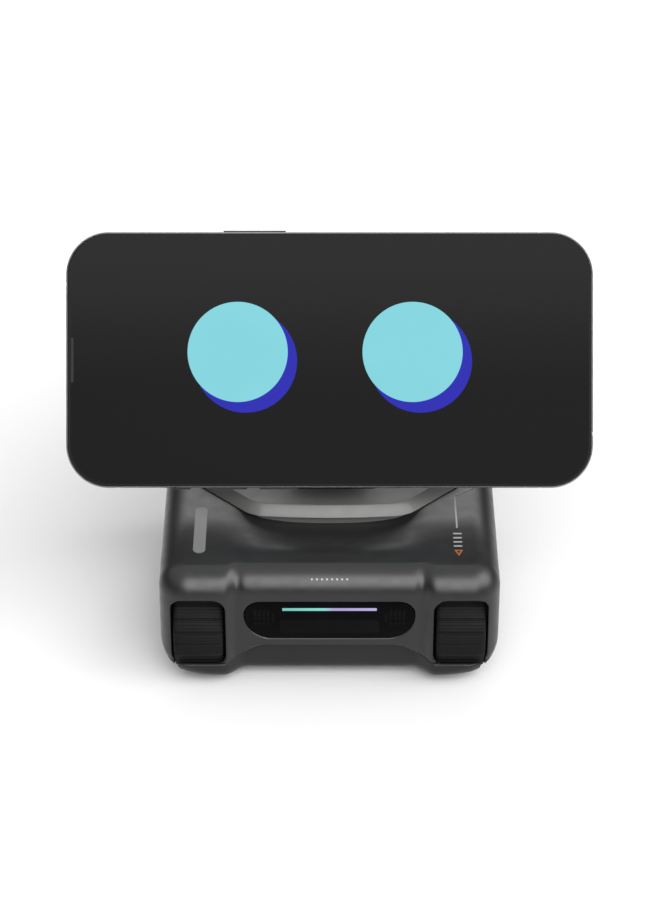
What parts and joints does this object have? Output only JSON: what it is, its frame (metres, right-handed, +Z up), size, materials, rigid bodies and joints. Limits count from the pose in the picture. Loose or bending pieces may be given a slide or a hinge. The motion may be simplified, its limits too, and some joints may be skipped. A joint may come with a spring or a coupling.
{
  "type": "educational coding robot",
  "caption": "Small wheeled desk robot with a satin black body, a light bar in a dark sensor window, and a phone on a magnetic tilting neck as its face.",
  "frame": {"origin": "centre of the overall box's footprint, on the floor that the wheels and the caster ball stand on", "axes": "+X to the right as seen from the front, along the phone's long side; -Y is the front, where the sensor window and wheels are; +Z up"},
  "size_m": [0.1608, 0.089, 0.1157],
  "materials": {
    "antenna_plastic": "grey polymer bands",
    "back_glass": "frosted graphite glass",
    "base_plastic": "dark grey satin moulded tray",
    "battery_wrap": "dark shrink wrap",
    "body_plastic": "dark grey satin moulded shell with a fine grain",
    "bracket_plastic": "black moulded bracket",
    "brass": "turned brass",
    "bump_glass": "polished graphite glass",
    "button_plastic": "light grey satin",
    "caster_plastic": "black moulded cup",
    "chip_plastic": "black moulded sensor",
    "circuit_board": "green solder mask",
    "collar_plastic": "light warm grey satin",
    "display_panel": "black display panel",
    "dot_light": "small white light pipes",
    "earpiece_mesh": "fine woven mesh",
    "gear_nylon": "natural nylon",
    "head_aluminium": "dark anodised, bead blasted",
    "label_print": "light grey printed pill",
    "lens_glass": "coated dark lens",
    "light_pipe": "glowing diffuser, teal fading to lavender",
    "magnet": "nickel plated",
    "mark_print": "pale printed line and ticks",
    "neck_plastic": "dark grey satin",
    "orange_print": "orange printed arrow",
    "pad_rubber": "soft black silicone",
    "panel_plastic": "dark grey satin",
    "phone_steel": "polished graphite steel",
    "port_steel": "drawn steel shell",
    "rim_plastic": "black moulded rim",
    "screen_glass": "polished dark cover glass",
    "servo_plastic": "dark moulded case",
    "speaker_metal": "pressed steel basket",
    "steel": "bright steel",
    "tyre_rubber": "soft black ribbed rubber",
    "window_plastic": "polished smoked black"
  },
  "bodies": {
    "chassis": {"arrow_mark": "orange_print", "base_screws": "steel", "base_shell": "base_plastic", "battery": "battery_wrap", "caster_socket": "caster_plastic", "charge_port": "port_steel", "cliff_sensors": "chip_plastic", "collar_panel": "panel_plastic", "collar_ring": "collar_plastic", "drive_motors": "steel", "indicator_dots": "dot_light", "label_plate": "label_print", "light_bar": "light_pipe", "light_board": "circuit_board", "main_board": "circuit_board", "neck_brackets": "bracket_plastic", "neck_servo": "servo_plastic", "sensor_modules": "chip_plastic", "sensor_window": "window_plastic", "shoulder_marks": "mark_print", "speaker": "speaker_metal", "top_shell": "body_plastic", "wheel_bushes": "brass"},
    "left_wheel": {"left_tyre": "tyre_rubber", "left_rim": "rim_plastic", "left_axle": "steel", "left_drive_gear": "gear_nylon"},
    "right_wheel": {"right_tyre": "tyre_rubber", "right_rim": "rim_plastic", "right_axle": "steel", "right_drive_gear": "gear_nylon"},
    "left_motor_gear": {"left_pinion": "brass"},
    "right_motor_gear": {"right_pinion": "brass"},
    "servo_gear": {"servo_pinion": "brass"},
    "caster": {"caster_ball": "steel"},
    "power_key": {"power_button": "button_plastic"},
    "neck": {"neck_barrel": "neck_plastic", "neck_arm": "neck_plastic", "neck_shaft": "steel", "neck_gear": "gear_nylon", "head_plate": "head_aluminium", "head_pad": "pad_rubber", "head_magnets": "magnet", "plate_screws": "steel"},
    "side_key": {"phone_side_button": "phone_steel"},
    "volume_up_key": {"phone_volume_up": "phone_steel"},
    "volume_down_key": {"phone_volume_down": "phone_steel"},
    "ring_key": {"phone_ring_switch": "phone_steel"},
    "phone": {"camera_bump": "bump_glass", "camera_lenses": "lens_glass", "camera_rings": "phone_steel", "phone_antenna_bands": "antenna_plastic", "phone_back": "back_glass", "phone_battery": "battery_wrap", "phone_board": "circuit_board", "phone_display": "display_panel", "phone_earpiece": "earpiece_mesh", "phone_frame": "phone_steel", "phone_glass": "screen_glass"}
  },
  "joints": [
    {"name": "left_wheel_spin", "type": "hinge", "parent": "chassis", "child": "left_wheel", "pos_m": [-0.03965, -0.0285, 0.016], "axis": [1, 0, 0], "continuous": true},
    {"name": "right_wheel_spin", "type": "hinge", "parent": "chassis", "child": "right_wheel", "pos_m": [0.03965, -0.0285, 0.016], "axis": [1, 0, 0], "continuous": true},
    {"name": "left_pinion_spin", "type": "hinge", "parent": "chassis", "child": "left_motor_gear", "pos_m": [-0.0245, -0.01554, 0.016], "axis": [1, 0, 0], "continuous": true},
    {"name": "right_pinion_spin", "type": "hinge", "parent": "chassis", "child": "right_motor_gear", "pos_m": [0.0245, -0.01554, 0.016], "axis": [1, 0, 0], "continuous": true},
    {"name": "caster_roll", "type": "hinge", "parent": "chassis", "child": "caster", "pos_m": [0, 0.0316, 0.007], "axis": [1, 0, 0], "continuous": true},
    {"name": "neck_tilt", "type": "hinge", "parent": "chassis", "child": "neck", "pos_m": [0, 0.012, 0.03], "axis": [1, 0, 0], "range_deg": [-20, 6]},
    {"name": "servo_spin", "type": "hinge", "parent": "chassis", "child": "servo_gear", "pos_m": [0.0226, 0.02256, 0.03], "axis": [1, 0, 0], "range_deg": [-12, 36]},
    {"name": "phone_lift", "type": "slide", "parent": "neck", "child": "phone", "axis": [0, -0.8387, 0.5446], "range_m": [0, 0.12]},
    {"name": "side_button_press", "type": "slide", "parent": "phone", "child": "side_key", "axis": [0, -0.5446, -0.8387], "range_m": [0, 0.0004], "stiffness_N_per_m": 300},
    {"name": "volume_up_press", "type": "slide", "parent": "phone", "child": "volume_up_key", "axis": [0, 0.5446, 0.8387], "range_m": [0, 0.0004], "stiffness_N_per_m": 300},
    {"name": "volume_down_press", "type": "slide", "parent": "phone", "child": "volume_down_key", "axis": [0, 0.5446, 0.8387], "range_m": [0, 0.0004], "stiffness_N_per_m": 300},
    {"name": "ring_switch_slide", "type": "slide", "parent": "phone", "child": "ring_key", "axis": [0, -0.8387, 0.5446], "range_m": [-0.0006, 0.0006]},
    {"name": "power_button_press", "type": "slide", "parent": "chassis", "child": "power_key", "axis": [0, -1, 0], "range_m": [0, 0.0008], "stiffness_N_per_m": 300}
  ],
  "couplings": [
    {"joint": "left_pinion_spin", "follows": "left_wheel_spin", "ratio": -3},
    {"joint": "right_pinion_spin", "follows": "right_wheel_spin", "ratio": -3},
    {"joint": "servo_spin", "follows": "neck_tilt", "ratio": -1.6}
  ]
}
